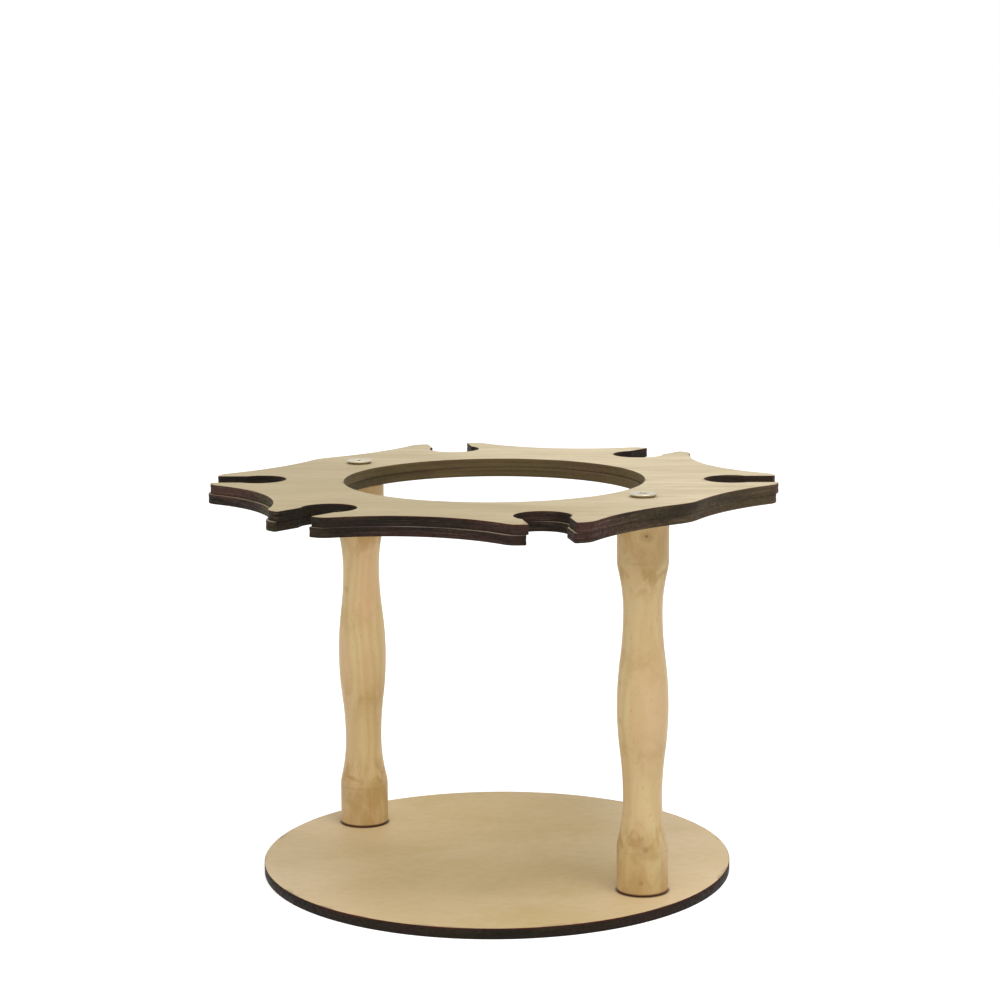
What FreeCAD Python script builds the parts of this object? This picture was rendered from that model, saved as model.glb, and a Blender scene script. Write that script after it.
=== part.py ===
import FreeCAD, Part
import math
import os
import Sketcher

# Holder with a round base, two turned posts and a six-slot ring of two laser-cut sheets.
# Origin at the centre of the base's underside, +Z up, posts on the X axis.

# Driving sizes: name, value in millimetres or degrees, what it measures
SIZES = [
    ("base_thickness", 4.0, "sheet of the round base"),
    ("base_border", 9.5, "base beyond the side of a post"),
    ("post_length", 140.0, "turned post, end to end"),
    ("post_diameter", 19.0, "post at its ends and at its belly"),
    ("post_neck_depth", 2.3, "how far each neck is turned in"),
    ("post_end_length", 16.0, "straight cylinder at each end of a post"),
    ("post_neck_height", 35.0, "narrowest place, from the end of the post"),
    ("post_shoulder_round", 14.0, "convex round from the straight end into the neck"),
    ("post_edge_bevel", 0.6, "sanded edge at each end of a post"),
    ("sheet_thickness", 3.6, "each of the ring's two sheets"),
    ("hole_diameter", 114.0, "round hole in the middle of the ring"),
    ("hole_border", 4.5, "ring between the hole and the side of a post"),
    ("slot_wall", 22.5, "ring between the hole and the round seat of a slot"),
    ("slot_round", 20.0, "diameter of a slot's round seat"),
    ("slot_mouth", 16.4, "width of the channel that leads into the seat"),
    ("slot_angle", 38.5, "degrees from the post's radius to the nearest slot"),
    ("horn_length", 17.8, "horn tips beyond the middle of the seat"),
    ("horn_width", 6.0, "blunt tip of a horn beside the channel"),
    ("horn_round", 6.5, "outer corner of a horn"),
    ("mouth_round", 1.0, "corner between a horn's tip and the channel"),
    ("waist_width", 34.4, "ring at the bottom of the scallop between close slots"),
    ("scallop_radius", 95.0, "hollow edge on both sides of a post"),
    ("boss_border", 12.5, "ring around the side of a post"),
    ("sheet_slip_x", 0.6, "lower sheet behind the upper one, towards -X"),
    ("sheet_slip_y", 0.5, "the same towards -Y"),
    ("screw_diameter", 5.0, "wood screw over its thread"),
    ("screw_head", 10.0, "countersunk head"),
    ("screw_rim", 0.4, "straight rim of the head"),
    ("screw_length", 40.0, "from the face of the head to the point"),
    ("screw_point", 7.0, "length of the tapered point"),
    ("screw_tip", 0.8, "blunt end of the point"),
    ("screw_sink", 0.3, "base screws inside the base's underside"),
    ("screw_proud", 1.3, "top screws above the ring's face, not driven home"),
    ("screw_clearance", 0.1, "around a screw in the wood"),
    ("recess_span", 5.0, "cross recess, tip to tip"),
    ("recess_width", 1.1, "width of each arm of the cross recess"),
    ("recess_depth", 2.0, "depth of the cross recess below the head's face"),
]

# Values that follow from the driving sizes
HOLE_RADIUS = "(sizes.hole_diameter / 2)"
POST_RADIUS = "(sizes.post_diameter / 2)"
POST_REACH = f"({HOLE_RADIUS} + sizes.hole_border + {POST_RADIUS})"
BASE_RADIUS = f"({POST_REACH} + {POST_RADIUS} + sizes.base_border)"
SLOT_REACH = f"({HOLE_RADIUS} + sizes.slot_wall + sizes.slot_round / 2)"
TIP_REACH = f"({SLOT_REACH} + sizes.horn_length)"
WAIST_REACH = f"({HOLE_RADIUS} + sizes.waist_width)"
BOSS_RADIUS = f"({POST_RADIUS} + sizes.boss_border)"
HEAD_RADIUS = "(sizes.screw_head / 2)"
SHANK_RADIUS = "(sizes.screw_diameter / 2)"
SCREW_TIP_RADIUS = "(sizes.screw_tip / 2)"
MOUTH_ANGLE = f"asin(sizes.slot_mouth / 2 / {TIP_REACH})"
HORN_ANGLE = f"asin((sizes.slot_mouth / 2 + sizes.horn_width) / {TIP_REACH})"
SLOT_TURN = "(sizes.slot_angle * 1 deg)"
CLOSE_HALF_GAP = f"((90 deg - {SLOT_TURN}) / 2)"
CLOSE_TURN = f"((90 deg + {SLOT_TURN}) / 2)"
SLIP = "sqrt(sizes.sheet_slip_x ^ 2 + sizes.sheet_slip_y ^ 2)"
HORN_ROUND = "min(sizes.horn_round; 1.5 * (sizes.horn_width - sizes.mouth_round))"
FOOT_LEVEL = "sizes.base_thickness"
RING_LEVEL = "(sizes.base_thickness + sizes.post_length)"
HEAD_OVER_RING = "(2 * sizes.sheet_thickness + sizes.screw_proud)"

# How far a cutting profile runs past the face that it opens
CUT_MARGIN = 5.0


def make_sheet(doc):
    """Put the driving sizes into the spreadsheet that everything is bound to."""
    sheet = doc.addObject("Spreadsheet::Sheet", "sizes")
    for row, (name, size, meaning) in enumerate(SIZES, start=1):
        sheet.set(f"A{row}", name)
        sheet.set(f"B{row}", str(size))
        sheet.set(f"C{row}", meaning)
        sheet.setAlias(f"B{row}", name)
    doc.recompute()


def value(thing, expression):
    """The number that an expression has now."""
    result = thing.evalExpression(expression)
    return float(getattr(result, "Value", result))


def new_body(doc, label, x="0", y="0", z="0"):
    """A named piece whose place follows the sizes."""
    body = doc.addObject("PartDesign::Body", label)
    body.Label = label
    for axis, expression in (("x", x), ("y", y), ("z", z)):
        body.setExpression(f"Placement.Base.{axis}", expression)
    return body


def origin_plane(body, role):
    return next(item for item in body.Origin.OriginFeatures if item.Role == role)


def new_sketch(body, name, plane="XY_Plane", turn=None, shift=None):
    """A sketch on one of the body's own planes, turned about it or moved along its first axis."""
    sketch = body.newObject("Sketcher::SketchObject", name)
    sketch.AttachmentSupport = [(origin_plane(body, plane), "")]
    sketch.MapMode = "FlatFace"
    if turn is not None:
        start = FreeCAD.Rotation(FreeCAD.Vector(0, 0, 1), value(sketch, turn))
        sketch.AttachmentOffset = FreeCAD.Placement(FreeCAD.Vector(), start)
        sketch.setExpression("AttachmentOffset.Rotation.Angle", turn)
    if shift is not None:
        sketch.setExpression("AttachmentOffset.Base.x", shift)
    return sketch


def bind(sketch, expression, kind, *places):
    """Add a dimension to a sketch and tie it to an expression."""
    index = sketch.addConstraint(Sketcher.Constraint(kind, *places, value(sketch, expression)))
    sketch.setExpression(f"Constraints[{index}]", expression)


def pin(sketch, geometry, point, x, y):
    """Fix a point of a sketch at two expressions, measured from the sketch's origin."""
    bind(sketch, x, "DistanceX", -1, 1, geometry, point)
    bind(sketch, y, "DistanceY", -1, 1, geometry, point)


def join(sketch, first, first_end, second, second_end, kind="Coincident"):
    sketch.addConstraint(Sketcher.Constraint(kind, first, first_end, second, second_end))


def spot(sketch, x, y):
    return FreeCAD.Vector(value(sketch, x), value(sketch, y), 0)


def draw_lines(sketch, corners, closed=True):
    """Straight lines through corners given as pairs of expressions; returns the first line's index."""
    spots = [spot(sketch, x, y) for x, y in corners]
    first = sketch.GeometryCount
    count = len(corners) if closed else len(corners) - 1
    for step in range(count):
        sketch.addGeometry(Part.LineSegment(spots[step], spots[(step + 1) % len(spots)]))
        pin(sketch, first + step, 1, *corners[step])
        if step:
            join(sketch, first + step - 1, 2, first + step, 1)
    if closed:
        join(sketch, first + count - 1, 2, first, 1)
    else:
        pin(sketch, first + count - 1, 2, *corners[-1])
    return first


def draw_circle(sketch, radius, x="0"):
    middle = spot(sketch, x, "0")
    circle = sketch.addGeometry(Part.Circle(middle, FreeCAD.Vector(0, 0, 1), value(sketch, radius)))
    pin(sketch, circle, 3, x, "0")
    bind(sketch, radius, "Radius", circle)


def draw_arc(sketch, middle, radius, start, end):
    """An arc about a point, anticlockwise from one point to another."""
    angles = [math.atan2(point.y - middle.y, point.x - middle.x) for point in (start, end)]
    circle = Part.Circle(middle, FreeCAD.Vector(0, 0, 1), radius)
    return sketch.addGeometry(Part.ArcOfCircle(circle, *angles))


def pad(body, sketch, length):
    feature = body.newObject("PartDesign::Pad", sketch.Name + "_pad")
    feature.Profile = sketch
    feature.setExpression("Length", length)
    return feature


def cut_through(body, sketch):
    """A pocket upwards from the bottom plane, through the whole sheet."""
    feature = body.newObject("PartDesign::Pocket", sketch.Name + "_cut")
    feature.Profile = sketch
    feature.Type = "ThroughAll"
    feature.Reversed = True
    return feature


def revolve(body, sketch, kind="PartDesign::Revolution"):
    """Turn a profile about its sketch's vertical axis, as a solid or as a cut."""
    feature = body.newObject(kind, sketch.Name + "_turned")
    feature.Profile = sketch
    feature.ReferenceAxis = (sketch, ["V_Axis"])
    feature.Angle = 360
    return feature


def mirror(body, originals, name, *planes):
    """Repeat features in one plane of the body, or in two planes for four copies."""
    if len(planes) == 1:
        feature = body.newObject("PartDesign::Mirrored", name)
        feature.Originals = originals
        feature.MirrorPlane = (origin_plane(body, planes[0]), [""])
    else:
        feature = body.newObject("PartDesign::MultiTransform", name)
        feature.Originals = originals
        steps = []
        for plane in planes:
            step = body.newObject("PartDesign::Mirrored", f"{name}_{plane}")
            step.MirrorPlane = (origin_plane(body, plane), [""])
            steps.append(step)
        feature.Transformations = steps
    body.Tip = feature
    return feature


def round_uprights(body, spots, name, radius):
    """Fillet the upright edges that stand at the given places."""
    body.Document.recompute()
    base = body.Tip
    names = []
    for number, edge in enumerate(base.Shape.Edges, start=1):
        ends = [vertex.Point for vertex in edge.Vertexes]
        if len(ends) != 2 or math.hypot(ends[0].x - ends[1].x, ends[0].y - ends[1].y) > 1e-3:
            continue
        if any(math.hypot(ends[0].x - x, ends[0].y - y) < 1e-2 for x, y in spots):
            names.append(f"Edge{number}")
    if len(names) != len(spots):
        raise RuntimeError(f"{body.Label}: {len(names)} of {len(spots)} corners found for {name}")
    feature = body.newObject("PartDesign::Fillet", name)
    feature.Base = (base, names)
    feature.setExpression("Radius", radius)
    body.Tip = feature


def screw_space(body, name, face, into, slack, shift=None):
    """Cut the room that a screw takes. face is the level of the screw head's face in this piece,
    into is the sign of the way that the screw points, slack is the gap all round it."""
    def level(depth):
        return f"{face} {into} ({depth})"

    sketch = new_sketch(body, name, "XZ_Plane", shift=shift)
    draw_lines(sketch, [
        ("0", level(f"-{CUT_MARGIN}")),
        (f"{HEAD_RADIUS} + {slack}", level(f"-{CUT_MARGIN}")),
        (f"{HEAD_RADIUS} + {slack}", level("sizes.screw_rim")),
        (f"{SHANK_RADIUS} + {slack}", level(f"sizes.screw_rim + {HEAD_RADIUS} - {SHANK_RADIUS}")),
        (f"{SHANK_RADIUS} + {slack}", level("sizes.screw_length - sizes.screw_point")),
        (f"{SCREW_TIP_RADIUS} + {slack}", level(f"sizes.screw_length + {slack}")),
        ("0", level(f"sizes.screw_length + {slack}")),
    ])
    return revolve(body, sketch, "PartDesign::Groove")


# Round base: one disc with a countersunk screw hole under each post
def make_base_disc(doc):
    body = new_body(doc, "base_disc")
    disc = new_sketch(body, "base_outline")
    draw_circle(disc, BASE_RADIUS)
    pad(body, disc, "sizes.base_thickness")
    face = "sizes.screw_sink"
    hole = screw_space(body, "base_screw_hole", face, "+", "sizes.screw_clearance", POST_REACH)
    mirror(body, [hole], "base_screw_holes", "YZ_Plane")


# Turned post: straight ends, a neck near each end and a belly as wide as the ends.
# Its own origin is at half its length, and its lower half mirrors the upper one.
def make_post(doc, label, side):
    body = new_body(doc, label, x=f"{side} * {POST_REACH}", z=f"{FOOT_LEVEL} + sizes.post_length / 2")
    sketch = new_sketch(body, "post_profile_" + label, "XZ_Plane")
    draw_post_profile(sketch)
    upper_half = revolve(body, sketch)
    mirror(body, [upper_half], "whole_" + label, "XY_Plane")
    top_face = f"sizes.post_length / 2 + {HEAD_OVER_RING}"
    low_face = "sizes.screw_sink - sizes.base_thickness - sizes.post_length / 2"
    screw_space(body, "top_pilot_" + label, top_face, "-", "sizes.screw_clearance")
    screw_space(body, "low_pilot_" + label, low_face, "+", "sizes.screw_clearance")


def radii_sum(rise, depth):
    """Radii of two arcs, added up, that lead smoothly from one upright line to another."""
    return (rise ** 2 + depth ** 2) / (2 * depth)


def draw_post_profile(sketch):
    """Upper half of a post's outline: belly, sweep, neck cove, shoulder, straight end, sanded edge."""
    point = FreeCAD.Vector
    radius = value(sketch, POST_RADIUS)
    neck = radius - value(sketch, "sizes.post_neck_depth")
    half = value(sketch, "sizes.post_length / 2")
    bevel = value(sketch, "sizes.post_edge_bevel")
    shoulder_round = value(sketch, "sizes.post_shoulder_round")
    neck_spot = point(neck, half - value(sketch, "sizes.post_neck_height"), 0)
    belly_spot = point(radius, 0, 0)
    shoulder_spot = point(radius, half - value(sketch, "sizes.post_end_length"), 0)
    edge_low = point(radius, half - bevel, 0)
    edge_top = point(radius - bevel, half, 0)
    top_spot = point(0, half, 0)
    middle_spot = point(0, 0, 0)

    cove_round = radii_sum(shoulder_spot.y - neck_spot.y, radius - neck) - shoulder_round
    belly_round = radii_sum(neck_spot.y, radius - neck) / 2
    share = shoulder_round / (shoulder_round + cove_round)
    shoulder_turn = shoulder_spot + (neck_spot - shoulder_spot) * share
    belly_turn = (belly_spot + neck_spot) * 0.5

    belly = draw_arc(sketch, belly_spot - point(belly_round, 0, 0), belly_round, belly_spot, belly_turn)
    sweep = draw_arc(sketch, neck_spot + point(belly_round, 0, 0), belly_round, neck_spot, belly_turn)
    cove = draw_arc(sketch, neck_spot + point(cove_round, 0, 0), cove_round, shoulder_turn, neck_spot)
    shoulder_middle = shoulder_spot - point(shoulder_round, 0, 0)
    shoulder = draw_arc(sketch, shoulder_middle, shoulder_round, shoulder_turn, shoulder_spot)
    straight = sketch.addGeometry(Part.LineSegment(shoulder_spot, edge_low))
    sanded = sketch.addGeometry(Part.LineSegment(edge_low, edge_top))
    top = sketch.addGeometry(Part.LineSegment(edge_top, top_spot))
    axis = sketch.addGeometry(Part.LineSegment(top_spot, middle_spot))
    middle = sketch.addGeometry(Part.LineSegment(middle_spot, belly_spot))

    join(sketch, belly, 2, sweep, 2, "Tangent")
    join(sketch, sweep, 1, cove, 2, "Tangent")
    join(sketch, cove, 1, shoulder, 1, "Tangent")
    join(sketch, shoulder, 2, straight, 1, "Tangent")
    join(sketch, straight, 2, sanded, 1)
    join(sketch, sanded, 2, top, 1)
    join(sketch, top, 2, axis, 1)
    join(sketch, axis, 2, middle, 1)
    join(sketch, middle, 2, belly, 1)
    join(sketch, axis, 2, -1, 1)
    sketch.addConstraint(Sketcher.Constraint("Vertical", axis))
    sketch.addConstraint(Sketcher.Constraint("Horizontal", middle))
    sketch.addConstraint(Sketcher.Constraint("PointOnObject", belly, 3, -1))
    sketch.addConstraint(Sketcher.Constraint("Vertical", straight))
    sketch.addConstraint(Sketcher.Constraint("Equal", belly, sweep))
    bind(sketch, POST_RADIUS, "DistanceX", -1, 1, belly, 1)
    bind(sketch, POST_RADIUS, "DistanceX", -1, 1, straight, 1)
    neck_level = "sizes.post_length / 2 - sizes.post_neck_height"
    pin(sketch, sweep, 1, f"{POST_RADIUS} - sizes.post_neck_depth", neck_level)
    bind(sketch, neck_level, "DistanceY", -1, 1, cove, 3)
    bind(sketch, "sizes.post_length / 2 - sizes.post_end_length", "DistanceY", -1, 1, straight, 1)
    bind(sketch, "sizes.post_shoulder_round", "Radius", shoulder)
    bind(sketch, "sizes.post_length / 2 - sizes.post_edge_bevel", "DistanceY", -1, 1, sanded, 1)
    pin(sketch, top, 1, f"{POST_RADIUS} - sizes.post_edge_bevel", "sizes.post_length / 2")
    bind(sketch, "sizes.post_length / 2", "DistanceY", -1, 1, top, 2)


def draw_closing_lines(sketch, tip_x, tip_y):
    """The outer sides of a scallop's cutting profile, from its upper horn corner to its lower one."""
    outside = f"{TIP_REACH} + {CUT_MARGIN}"
    corners = [(tip_x, tip_y), (outside, tip_y), (outside, f"-{tip_y}"), (tip_x, f"-{tip_y}")]
    return draw_lines(sketch, corners, closed=False)


def draw_close_scallop(sketch):
    """Hollow between two close slots: one arc from horn corner to horn corner."""
    half_angle = f"({CLOSE_HALF_GAP} - {HORN_ANGLE})"
    tip_x = f"{TIP_REACH} * cos({half_angle})"
    tip_y = f"({TIP_REACH} * sin({half_angle}))"
    depth = f"({tip_x} - {WAIST_REACH})"
    radius = f"(({depth}) ^ 2 + {tip_y} ^ 2) / (2 * {depth})"
    first = draw_closing_lines(sketch, tip_x, tip_y)
    upper = spot(sketch, tip_x, tip_y)
    lower = spot(sketch, tip_x, f"-{tip_y}")
    middle = spot(sketch, f"{WAIST_REACH} + {radius}", "0")
    arc = draw_arc(sketch, middle, value(sketch, radius), upper, lower)
    join(sketch, arc, 1, first, 1)
    join(sketch, arc, 2, first + 2, 2)
    bind(sketch, radius, "Radius", arc)


def draw_post_scallop(sketch):
    """Edge between the two slots beside a post: a boss around the post with a hollow on each side."""
    half_angle = f"({SLOT_TURN} - {HORN_ANGLE})"
    tip_x = f"{TIP_REACH} * cos({half_angle})"
    tip_y = f"({TIP_REACH} * sin({half_angle}))"
    first = draw_closing_lines(sketch, tip_x, tip_y)
    tip = spot(sketch, tip_x, tip_y)
    post = spot(sketch, POST_REACH, "0")
    boss = value(sketch, BOSS_RADIUS)
    hollow = value(sketch, "sizes.scallop_radius")

    # The hollow's middle lies a hollow's radius from the horn, and both radii from the post
    span = tip - post
    along = (span.Length ** 2 + (boss + hollow) ** 2 - hollow ** 2) / (2 * span.Length)
    aside = math.sqrt((boss + hollow) ** 2 - along ** 2)
    forward = span / span.Length
    outward = FreeCAD.Vector(forward.y, -forward.x, 0)
    middle = post + forward * along + outward * aside
    touch = post + (middle - post) * (boss / (boss + hollow))

    def flip(place):
        return FreeCAD.Vector(place.x, -place.y, 0)

    upper = draw_arc(sketch, middle, hollow, tip, touch)
    around = draw_arc(sketch, post, boss, flip(touch), touch)
    lower = draw_arc(sketch, flip(middle), hollow, flip(touch), flip(tip))
    join(sketch, upper, 1, first, 1)
    join(sketch, upper, 2, around, 2, "Tangent")
    join(sketch, around, 1, lower, 1, "Tangent")
    join(sketch, lower, 2, first + 2, 2)
    pin(sketch, around, 3, POST_REACH, "0")
    bind(sketch, BOSS_RADIUS, "Radius", around)
    bind(sketch, "sizes.scallop_radius", "Radius", upper)
    bind(sketch, "sizes.scallop_radius", "Radius", lower)


def cut_slot(body, name, angle):
    """Round seat with a channel that leads outwards from it; returns the two cuts."""
    seat = new_sketch(body, name + "_round", turn=angle)
    draw_circle(seat, "sizes.slot_round / 2", SLOT_REACH)
    seat_cut = cut_through(body, seat)
    channel = new_sketch(body, name + "_channel", turn=angle)
    side = "sizes.slot_mouth / 2"
    outside = f"{TIP_REACH} + {CUT_MARGIN}"
    draw_lines(channel, [
        (SLOT_REACH, f"-{side}"),
        (outside, f"-{side}"),
        (outside, side),
        (SLOT_REACH, side),
    ])
    return [seat_cut, cut_through(body, channel)]


def tip_corners(body, offset):
    """Places on the tip circle at an angle to each side of all six slots."""
    reach = value(body, TIP_REACH)
    near = value(body, "sizes.slot_angle")
    away = value(body, offset)
    places = []
    for middle in (near, 90, 180 - near, 180 + near, 270, 360 - near):
        for angle in (middle - away, middle + away):
            turn = math.radians(angle)
            places.append((reach * math.cos(turn), reach * math.sin(turn)))
    return places


# Ring sheet: a disc with a middle hole, six slots between horns, and hollow edges
def make_ring_sheet(doc, label, x, y, z, head_face, slack):
    body = new_body(doc, label, x, y, z)
    blank = new_sketch(body, "blank_" + label)
    draw_circle(blank, TIP_REACH)
    pad(body, blank, "sizes.sheet_thickness")
    middle_hole = new_sketch(body, "middle_hole_" + label)
    draw_circle(middle_hole, HOLE_RADIUS)
    cut_through(body, middle_hole)

    corner_cuts = cut_slot(body, "corner_slot_" + label, SLOT_TURN)
    close_scallop = new_sketch(body, "close_scallop_" + label, turn=CLOSE_TURN)
    draw_close_scallop(close_scallop)
    corner_cuts.append(cut_through(body, close_scallop))
    mirror(body, corner_cuts, "four_corners_" + label, "YZ_Plane", "XZ_Plane")

    side_cuts = cut_slot(body, "side_slot_" + label, "90 deg")
    mirror(body, side_cuts, "both_side_slots_" + label, "XZ_Plane")

    post_scallop = new_sketch(body, "post_scallop_" + label)
    draw_post_scallop(post_scallop)
    mirror(body, [cut_through(body, post_scallop)], "both_post_scallops_" + label, "YZ_Plane")

    hole = screw_space(body, "screw_hole_" + label, head_face, "-", slack, POST_REACH)
    mirror(body, [hole], "both_screw_holes_" + label, "YZ_Plane")
    round_uprights(body, tip_corners(body, HORN_ANGLE), "horn_rounds_" + label, HORN_ROUND)
    round_uprights(body, tip_corners(body, MOUTH_ANGLE), "mouth_rounds_" + label, "sizes.mouth_round")


def make_ring(doc):
    make_ring_sheet(doc, "lower_ring_sheet", "-sizes.sheet_slip_x", "-sizes.sheet_slip_y", RING_LEVEL,
                    HEAD_OVER_RING, f"(sizes.screw_clearance + {SLIP})")
    make_ring_sheet(doc, "upper_ring_sheet", "0", "0", f"{RING_LEVEL} + sizes.sheet_thickness",
                    f"({HEAD_OVER_RING} - sizes.sheet_thickness)", "sizes.screw_clearance")


# Countersunk wood screw with its origin at the middle of the head's face, pointing down
def make_screw(doc, label, side, face, upright):
    body = new_body(doc, label, x=f"{side} * {POST_REACH}", z=face)
    if not upright:
        body.Placement.Rotation = FreeCAD.Rotation(FreeCAD.Vector(1, 0, 0), 180)
    profile = new_sketch(body, "profile_" + label, "XZ_Plane")
    draw_lines(profile, [
        ("0", "0"),
        (HEAD_RADIUS, "0"),
        (HEAD_RADIUS, "-sizes.screw_rim"),
        (SHANK_RADIUS, f"{SHANK_RADIUS} - {HEAD_RADIUS} - sizes.screw_rim"),
        (SHANK_RADIUS, "sizes.screw_point - sizes.screw_length"),
        (SCREW_TIP_RADIUS, "-sizes.screw_length"),
        ("0", "-sizes.screw_length"),
    ])
    revolve(body, profile)
    recess = new_sketch(body, "recess_" + label)
    draw_cross(recess)
    cut = body.newObject("PartDesign::Pocket", "recess_cut_" + label)
    cut.Profile = recess
    cut.setExpression("Length", "sizes.recess_depth")


def draw_cross(sketch):
    """Outline of the cross recess, one quarter after another."""
    arm = "sizes.recess_span / 2"
    side = "sizes.recess_width / 2"
    draw_lines(sketch, [
        (arm, f"-{side}"), (arm, side), (side, side),
        (side, arm), (f"-{side}", arm), (f"-{side}", side),
        (f"-{arm}", side), (f"-{arm}", f"-{side}"), (f"-{side}", f"-{side}"),
        (f"-{side}", f"-{arm}"), (side, f"-{arm}"), (side, f"-{side}"),
    ])


def make_screws(doc):
    top = f"{RING_LEVEL} + {HEAD_OVER_RING}"
    for side_name, side in (("right", 1), ("left", -1)):
        make_screw(doc, side_name + "_top_screw", side, top, True)
        make_screw(doc, side_name + "_base_screw", side, "sizes.screw_sink", False)


def check(doc):
    """Stop if any feature failed or any piece is not one sound solid."""
    for item in doc.Objects:
        if "Invalid" in item.State or "Error" in item.State:
            raise RuntimeError(f"{item.Label}: {item.State}")
    for body in doc.findObjects("PartDesign::Body"):
        shape = body.Shape
        if shape.isNull() or not shape.isValid() or len(shape.Solids) != 1:
            raise RuntimeError(f"{body.Label}: not one valid solid")


def main():
    doc = FreeCAD.newDocument("glass_holder")
    make_sheet(doc)
    make_base_disc(doc)
    make_post(doc, "right_post", 1)
    make_post(doc, "left_post", -1)
    make_ring(doc)
    make_screws(doc)
    doc.recompute()
    check(doc)
    os.makedirs("parts", exist_ok=True)
    for body in doc.findObjects("PartDesign::Body"):
        body.Shape.exportStep(f"parts/{body.Label}.step")
        box = body.Shape.optimalBoundingBox()
        print(f"{body.Label}: {body.Shape.Volume:.1f} mm3, z {box.ZMin:.2f} to {box.ZMax:.2f}")


main()
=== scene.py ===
"""Wooden table caddy: its laser-cut sheets, turned posts and zinc screws, dressed and lit."""

from functools import partial
import math

import bmesh
import bpy
from bpy.props import FloatProperty, FloatVectorProperty, IntProperty, PointerProperty
from mathutils import Matrix, Vector, noise
from mathutils.bvhtree import BVHTree
from mathutils.geometry import delaunay_2d_cdt


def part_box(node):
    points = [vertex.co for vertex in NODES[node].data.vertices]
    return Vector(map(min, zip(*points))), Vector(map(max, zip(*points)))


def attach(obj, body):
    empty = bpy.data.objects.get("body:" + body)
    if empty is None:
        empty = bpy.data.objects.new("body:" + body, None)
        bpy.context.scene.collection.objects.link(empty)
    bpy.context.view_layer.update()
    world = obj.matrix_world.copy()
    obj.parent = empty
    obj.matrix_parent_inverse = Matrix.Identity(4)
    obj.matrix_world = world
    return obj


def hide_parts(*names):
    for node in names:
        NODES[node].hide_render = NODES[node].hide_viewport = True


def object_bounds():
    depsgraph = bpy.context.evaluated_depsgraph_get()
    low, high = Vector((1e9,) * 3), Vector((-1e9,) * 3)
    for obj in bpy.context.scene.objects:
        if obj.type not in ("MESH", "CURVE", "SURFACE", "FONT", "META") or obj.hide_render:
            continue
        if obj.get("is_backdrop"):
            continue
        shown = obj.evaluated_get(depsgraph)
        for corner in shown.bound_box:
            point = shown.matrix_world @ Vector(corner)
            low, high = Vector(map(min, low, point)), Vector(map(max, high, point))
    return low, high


bl_info = {
    "name": "Wooden Table Caddy",
    "version": (1, 0, 0),
    "blender": (4, 5, 0),
    "location": "View3D > Sidebar > Caddy",
    "description": "Dresses a caddy of laser-cut sheets and turned posts, and sets its stage",
    "category": "Object",
}

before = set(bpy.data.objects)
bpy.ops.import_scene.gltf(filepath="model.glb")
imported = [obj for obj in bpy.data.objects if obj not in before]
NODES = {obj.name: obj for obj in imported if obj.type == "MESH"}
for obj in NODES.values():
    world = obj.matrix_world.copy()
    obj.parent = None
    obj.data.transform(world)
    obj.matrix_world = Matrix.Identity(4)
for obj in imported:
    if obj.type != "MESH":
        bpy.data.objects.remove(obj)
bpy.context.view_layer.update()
BODY = "root"

MM = 0.001
# Points that lie nearer to each other than this are one point
MERGE_GAP = 0.002 * MM
# A face is level where its normal's height is over this
LEVEL_NORMAL = 0.99
# Level direction from the caddy's left end to its right one, seen from the front
TO_THE_RIGHT = (0.76, 0.65, 0)
# Direction in which the ring's face grows darker in painted shade
TO_THE_DARK = (-0.35, -0.94, 0)
# Waves that the beam strays in, in one millimetre along a cut and in one of its height
WANDER_ALONG, WANDER_DOWN = 0.8, 0.25
# Rows of points beside a cut, and the least gap between the points of a row
ROWS_BESIDE_CUT = (0.3 * MM, 0.8 * MM, 1.6 * MM, 2.8 * MM)
ROW_GAP = 0.8 * MM
# Walls get painted shade where another wall stands nearer than the first length in front of them, and all of it
# where the second is to spare
SLOT_REACH, SLOT_FADE = 26 * MM, 6 * MM
# Share of the thread's pitch and radius at each corner of its tooth: 0 is the core and 1 the crest
TOOTH = ((0.0, 0), (0.48, 0), (0.70, 1), (0.78, 1))
# Rings of points on a screw's face as shares of its radius, and steps of its rounded corner
FACE_RINGS = (0.06, 0.3, 0.6, 0.8)
CORNER_STEPS = 4
# Size and height of the recess cutter's rings as shares of its span and depth
RECESS_RINGS = ((1.0, 0.15), (1.0, 0.0), (0.45, -0.8))
# The recess's points lie within these shares of its depth and, from the axis, of its span
RECESS_LIMITS = (1.02, 0.55)
# A screw's hole lies within this share of the head's width from the screw's axis
HOLE_SHARE = 0.75
# Faces that meet at a sharper angle keep a crisp edge
SHEET_CREASE, SCREW_CREASE = math.radians(50), math.radians(35)
WHITE = (1, 1, 1)

# Pin knots and soft brown spots on the posts: place and radius in millimetres, and strength
SPECKS = {
    "right": ((77.7, -6.7, 138.2, 0.8, 0.9), (79.0, -6.2, 136.9, 0.5, 0.5), (66.9, -7.6, 83.2, 0.5, 0.8),
              (67.3, -7.8, 69.0, 0.6, 0.8), (75.6, -7.1, 25.2, 2.4, 0.2), (77.4, -6.5, 21.8, 1.6, 0.3),
              (76.4, -7.8, 9.3, 1.3, 0.35), (84.5, 6.0, 61.0, 0.5, 0.8)),
    "left": ((-72.4, -6.9, 101.0, 0.6, 0.8), (-79.1, 7.6, 33.0, 0.5, 0.7), (-84.0, 3.0, 120.0, 0.4, 0.8)),
}
# Direction from each post's axis to the heart of the tree that it was cut from
HEART_ANGLES = {"right": 2.2, "left": 0.4}

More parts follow.
